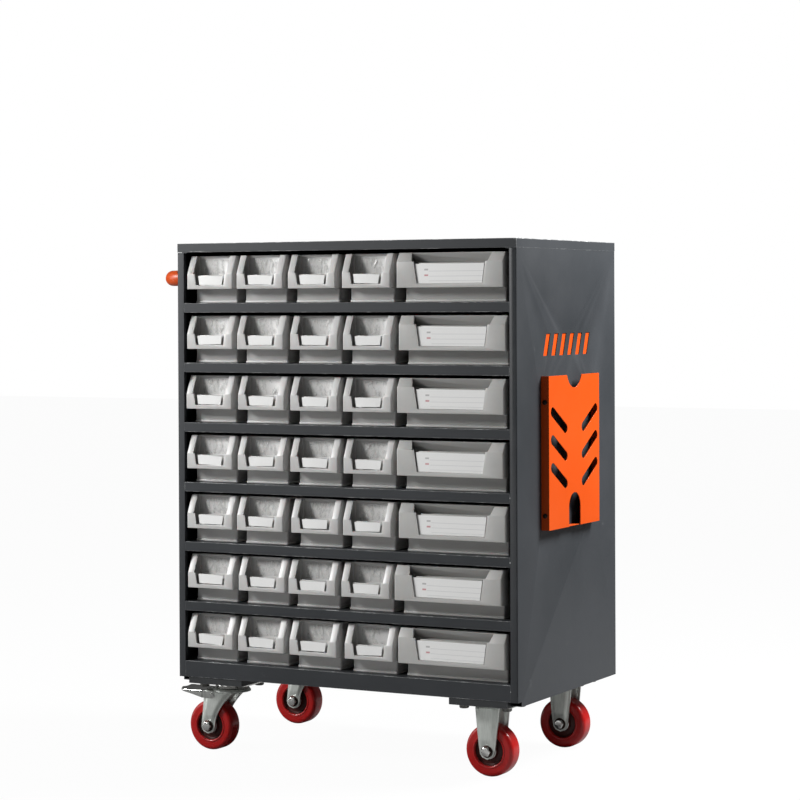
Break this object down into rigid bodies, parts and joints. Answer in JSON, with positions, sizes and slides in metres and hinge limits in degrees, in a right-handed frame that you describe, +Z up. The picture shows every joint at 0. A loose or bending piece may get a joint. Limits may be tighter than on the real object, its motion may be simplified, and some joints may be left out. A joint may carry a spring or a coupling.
{
  "type": "parts organizer",
  "caption": "Folded-steel parts cabinet on casters, with rows of hooded pull-out plastic bins, an orange push handle and a slotted side pocket.",
  "frame": {"origin": "middle of the whole footprint, handle and side pocket included, on the floor", "axes": "+X to the object's right seen from the front, +Y to its back, +Z up"},
  "size_m": [0.6776, 0.38, 0.816],
  "materials": {
    "cabinet_paint": "satin anthracite powder coat",
    "mount_paint": "satin dark powder coat",
    "orange_paint": "semi-gloss orange powder coat",
    "zinc_steel": "dull zinc-plated pressed steel",
    "bright_zinc": "bright plated pressed steel",
    "red_tyre": "glossy red moulded polyurethane",
    "wheel_core": "dark moulded core",
    "small_bin_plastic": "light grey moulded polypropylene",
    "large_bin_plastic": "mid grey moulded polypropylene",
    "label_card": "white paper card",
    "card_print": "printed rules on the card",
    "clear_film": "crinkled clear film"
  },
  "bodies": {
    "cabinet": {"left_side_panel": "cabinet_paint", "right_side_panel": "cabinet_paint", "top_cover": "cabinet_paint", "back_panel": "cabinet_paint", "base_panel": "cabinet_paint", "shelves": "cabinet_paint", "caster_mounts": "mount_paint", "push_handle": "orange_paint", "side_pocket": "orange_paint", "accent_plate": "orange_paint", "panel_screws": "zinc_steel", "caster_bolts": "zinc_steel", "rigid_forks": "zinc_steel", "rigid_axles": "zinc_steel", "swivel_top_plates": "zinc_steel"},
    "bin_r1_c1": {"small_drawer_r1_c1": "small_bin_plastic"},
    "bin_r1_c2": {"small_drawer_r1_c2": "small_bin_plastic"},
    "bin_r1_c3": {"small_drawer_r1_c3": "small_bin_plastic"},
    "bin_r1_c4": {"small_drawer_r1_c4": "small_bin_plastic"},
    "bin_r1_large": {"large_drawer_r1": "large_bin_plastic"},
    "bin_r2_c1": {"small_drawer_r2_c1": "small_bin_plastic"},
    "bin_r2_c2": {"small_drawer_r2_c2": "small_bin_plastic"},
    "bin_r2_c3": {"small_drawer_r2_c3": "small_bin_plastic"},
    "bin_r2_c4": {"small_drawer_r2_c4": "small_bin_plastic"},
    "bin_r2_large": {"large_drawer_r2": "large_bin_plastic"},
    "bin_r3_c1": {"small_drawer_r3_c1": "small_bin_plastic"},
    "bin_r3_c2": {"small_drawer_r3_c2": "small_bin_plastic"},
    "bin_r3_c3": {"small_drawer_r3_c3": "small_bin_plastic"},
    "bin_r3_c4": {"small_drawer_r3_c4": "small_bin_plastic"},
    "bin_r3_large": {"large_drawer_r3": "large_bin_plastic"},
    "bin_r4_c1": {"small_drawer_r4_c1": "small_bin_plastic"},
    "bin_r4_c2": {"small_drawer_r4_c2": "small_bin_plastic"},
    "bin_r4_c3": {"small_drawer_r4_c3": "small_bin_plastic"},
    "bin_r4_c4": {"small_drawer_r4_c4": "small_bin_plastic"},
    "bin_r4_large": {"large_drawer_r4": "large_bin_plastic"},
    "bin_r5_c1": {"small_drawer_r5_c1": "small_bin_plastic"},
    "bin_r5_c2": {"small_drawer_r5_c2": "small_bin_plastic"},
    "bin_r5_c3": {"small_drawer_r5_c3": "small_bin_plastic"},
    "bin_r5_c4": {"small_drawer_r5_c4": "small_bin_plastic"},
    "bin_r5_large": {"large_drawer_r5": "large_bin_plastic"},
    "bin_r6_c1": {"small_drawer_r6_c1": "small_bin_plastic"},
    "bin_r6_c2": {"small_drawer_r6_c2": "small_bin_plastic"},
    "bin_r6_c3": {"small_drawer_r6_c3": "small_bin_plastic"},
    "bin_r6_c4": {"small_drawer_r6_c4": "small_bin_plastic"},
    "bin_r6_large": {"large_drawer_r6": "large_bin_plastic"},
    "bin_r7_c1": {"small_drawer_r7_c1": "small_bin_plastic"},
    "bin_r7_c2": {"small_drawer_r7_c2": "small_bin_plastic"},
    "bin_r7_c3": {"small_drawer_r7_c3": "small_bin_plastic"},
    "bin_r7_c4": {"small_drawer_r7_c4": "small_bin_plastic"},
    "bin_r7_large": {"large_drawer_r7": "large_bin_plastic"},
    "caster_front_left": {"swivel_fork_front": "zinc_steel", "swivel_axle_front": "zinc_steel"},
    "pedal_front": {"brake_pedal_front": "bright_zinc"},
    "wheel_front_left": {"wheel_front_left": "red_tyre"},
    "wheel_front_right": {"wheel_front_right": "red_tyre"},
    "caster_rear_left": {"swivel_fork_rear": "zinc_steel", "swivel_axle_rear": "zinc_steel"},
    "pedal_rear": {"brake_pedal_rear": "bright_zinc"},
    "wheel_rear_left": {"wheel_rear_left": "red_tyre"},
    "wheel_rear_right": {"wheel_rear_right": "red_tyre"}
  },
  "joints": [
    {"name": "slide_r1_c1", "type": "slide", "parent": "cabinet", "child": "bin_r1_c1", "axis": [0, -1, 0], "range_m": [0, 0.25]},
    {"name": "slide_r1_c2", "type": "slide", "parent": "cabinet", "child": "bin_r1_c2", "axis": [0, -1, 0], "range_m": [0, 0.25]},
    {"name": "slide_r1_c3", "type": "slide", "parent": "cabinet", "child": "bin_r1_c3", "axis": [0, -1, 0], "range_m": [0, 0.25]},
    {"name": "slide_r1_c4", "type": "slide", "parent": "cabinet", "child": "bin_r1_c4", "axis": [0, -1, 0], "range_m": [0, 0.25]},
    {"name": "slide_r1_large", "type": "slide", "parent": "cabinet", "child": "bin_r1_large", "axis": [0, -1, 0], "range_m": [0, 0.25]},
    {"name": "slide_r2_c1", "type": "slide", "parent": "cabinet", "child": "bin_r2_c1", "axis": [0, -1, 0], "range_m": [0, 0.25]},
    {"name": "slide_r2_c2", "type": "slide", "parent": "cabinet", "child": "bin_r2_c2", "axis": [0, -1, 0], "range_m": [0, 0.25]},
    {"name": "slide_r2_c3", "type": "slide", "parent": "cabinet", "child": "bin_r2_c3", "axis": [0, -1, 0], "range_m": [0, 0.25]},
    {"name": "slide_r2_c4", "type": "slide", "parent": "cabinet", "child": "bin_r2_c4", "axis": [0, -1, 0], "range_m": [0, 0.25]},
    {"name": "slide_r2_large", "type": "slide", "parent": "cabinet", "child": "bin_r2_large", "axis": [0, -1, 0], "range_m": [0, 0.25]},
    {"name": "slide_r3_c1", "type": "slide", "parent": "cabinet", "child": "bin_r3_c1", "axis": [0, -1, 0], "range_m": [0, 0.25]},
    {"name": "slide_r3_c2", "type": "slide", "parent": "cabinet", "child": "bin_r3_c2", "axis": [0, -1, 0], "range_m": [0, 0.25]},
    {"name": "slide_r3_c3", "type": "slide", "parent": "cabinet", "child": "bin_r3_c3", "axis": [0, -1, 0], "range_m": [0, 0.25]},
    {"name": "slide_r3_c4", "type": "slide", "parent": "cabinet", "child": "bin_r3_c4", "axis": [0, -1, 0], "range_m": [0, 0.25]},
    {"name": "slide_r3_large", "type": "slide", "parent": "cabinet", "child": "bin_r3_large", "axis": [0, -1, 0], "range_m": [0, 0.25]},
    {"name": "slide_r4_c1", "type": "slide", "parent": "cabinet", "child": "bin_r4_c1", "axis": [0, -1, 0], "range_m": [0, 0.25]},
    {"name": "slide_r4_c2", "type": "slide", "parent": "cabinet", "child": "bin_r4_c2", "axis": [0, -1, 0], "range_m": [0, 0.25]},
    {"name": "slide_r4_c3", "type": "slide", "parent": "cabinet", "child": "bin_r4_c3", "axis": [0, -1, 0], "range_m": [0, 0.25]},
    {"name": "slide_r4_c4", "type": "slide", "parent": "cabinet", "child": "bin_r4_c4", "axis": [0, -1, 0], "range_m": [0, 0.25]},
    {"name": "slide_r4_large", "type": "slide", "parent": "cabinet", "child": "bin_r4_large", "axis": [0, -1, 0], "range_m": [0, 0.25]},
    {"name": "slide_r5_c1", "type": "slide", "parent": "cabinet", "child": "bin_r5_c1", "axis": [0, -1, 0], "range_m": [0, 0.25]},
    {"name": "slide_r5_c2", "type": "slide", "parent": "cabinet", "child": "bin_r5_c2", "axis": [0, -1, 0], "range_m": [0, 0.25]},
    {"name": "slide_r5_c3", "type": "slide", "parent": "cabinet", "child": "bin_r5_c3", "axis": [0, -1, 0], "range_m": [0, 0.25]},
    {"name": "slide_r5_c4", "type": "slide", "parent": "cabinet", "child": "bin_r5_c4", "axis": [0, -1, 0], "range_m": [0, 0.25]},
    {"name": "slide_r5_large", "type": "slide", "parent": "cabinet", "child": "bin_r5_large", "axis": [0, -1, 0], "range_m": [0, 0.25]},
    {"name": "slide_r6_c1", "type": "slide", "parent": "cabinet", "child": "bin_r6_c1", "axis": [0, -1, 0], "range_m": [0, 0.25]},
    {"name": "slide_r6_c2", "type": "slide", "parent": "cabinet", "child": "bin_r6_c2", "axis": [0, -1, 0], "range_m": [0, 0.25]},
    {"name": "slide_r6_c3", "type": "slide", "parent": "cabinet", "child": "bin_r6_c3", "axis": [0, -1, 0], "range_m": [0, 0.25]},
    {"name": "slide_r6_c4", "type": "slide", "parent": "cabinet", "child": "bin_r6_c4", "axis": [0, -1, 0], "range_m": [0, 0.25]},
    {"name": "slide_r6_large", "type": "slide", "parent": "cabinet", "child": "bin_r6_large", "axis": [0, -1, 0], "range_m": [0, 0.25]},
    {"name": "slide_r7_c1", "type": "slide", "parent": "cabinet", "child": "bin_r7_c1", "axis": [0, -1, 0], "range_m": [0, 0.25]},
    {"name": "slide_r7_c2", "type": "slide", "parent": "cabinet", "child": "bin_r7_c2", "axis": [0, -1, 0], "range_m": [0, 0.25]},
    {"name": "slide_r7_c3", "type": "slide", "parent": "cabinet", "child": "bin_r7_c3", "axis": [0, -1, 0], "range_m": [0, 0.25]},
    {"name": "slide_r7_c4", "type": "slide", "parent": "cabinet", "child": "bin_r7_c4", "axis": [0, -1, 0], "range_m": [0, 0.25]},
    {"name": "slide_r7_large", "type": "slide", "parent": "cabinet", "child": "bin_r7_large", "axis": [0, -1, 0], "range_m": [0, 0.25]},
    {"name": "swivel_front", "type": "hinge", "parent": "cabinet", "child": "caster_front_left", "pos_m": [-0.20725, -0.1345, 0.1015], "axis": [0, 0, 1], "continuous": true},
    {"name": "wheel_spin_front_left", "type": "hinge", "parent": "caster_front_left", "child": "wheel_front_left", "pos_m": [-0.24025, -0.1345, 0.04], "axis": [0, 1, 0], "continuous": true},
    {"name": "brake_front", "type": "hinge", "parent": "caster_front_left", "child": "pedal_front", "pos_m": [-0.23125, -0.1345, 0.0905], "axis": [0, -1, 0], "range_deg": [0, 10]},
    {"name": "wheel_spin_front_right", "type": "hinge", "parent": "cabinet", "child": "wheel_front_right", "pos_m": [0.25875, -0.1345, 0.04], "axis": [0, 1, 0], "continuous": true},
    {"name": "swivel_rear", "type": "hinge", "parent": "cabinet", "child": "caster_rear_left", "pos_m": [-0.20725, 0.1355, 0.1015], "axis": [0, 0, 1], "continuous": true},
    {"name": "wheel_spin_rear_left", "type": "hinge", "parent": "caster_rear_left", "child": "wheel_rear_left", "pos_m": [-0.24025, 0.1355, 0.04], "axis": [0, 1, 0], "continuous": true},
    {"name": "brake_rear", "type": "hinge", "parent": "caster_rear_left", "child": "pedal_rear", "pos_m": [-0.23125, 0.1355, 0.0905], "axis": [0, -1, 0], "range_deg": [0, 10]},
    {"name": "wheel_spin_rear_right", "type": "hinge", "parent": "cabinet", "child": "wheel_rear_right", "pos_m": [0.25875, 0.1355, 0.04], "axis": [0, 1, 0], "continuous": true}
  ]
}
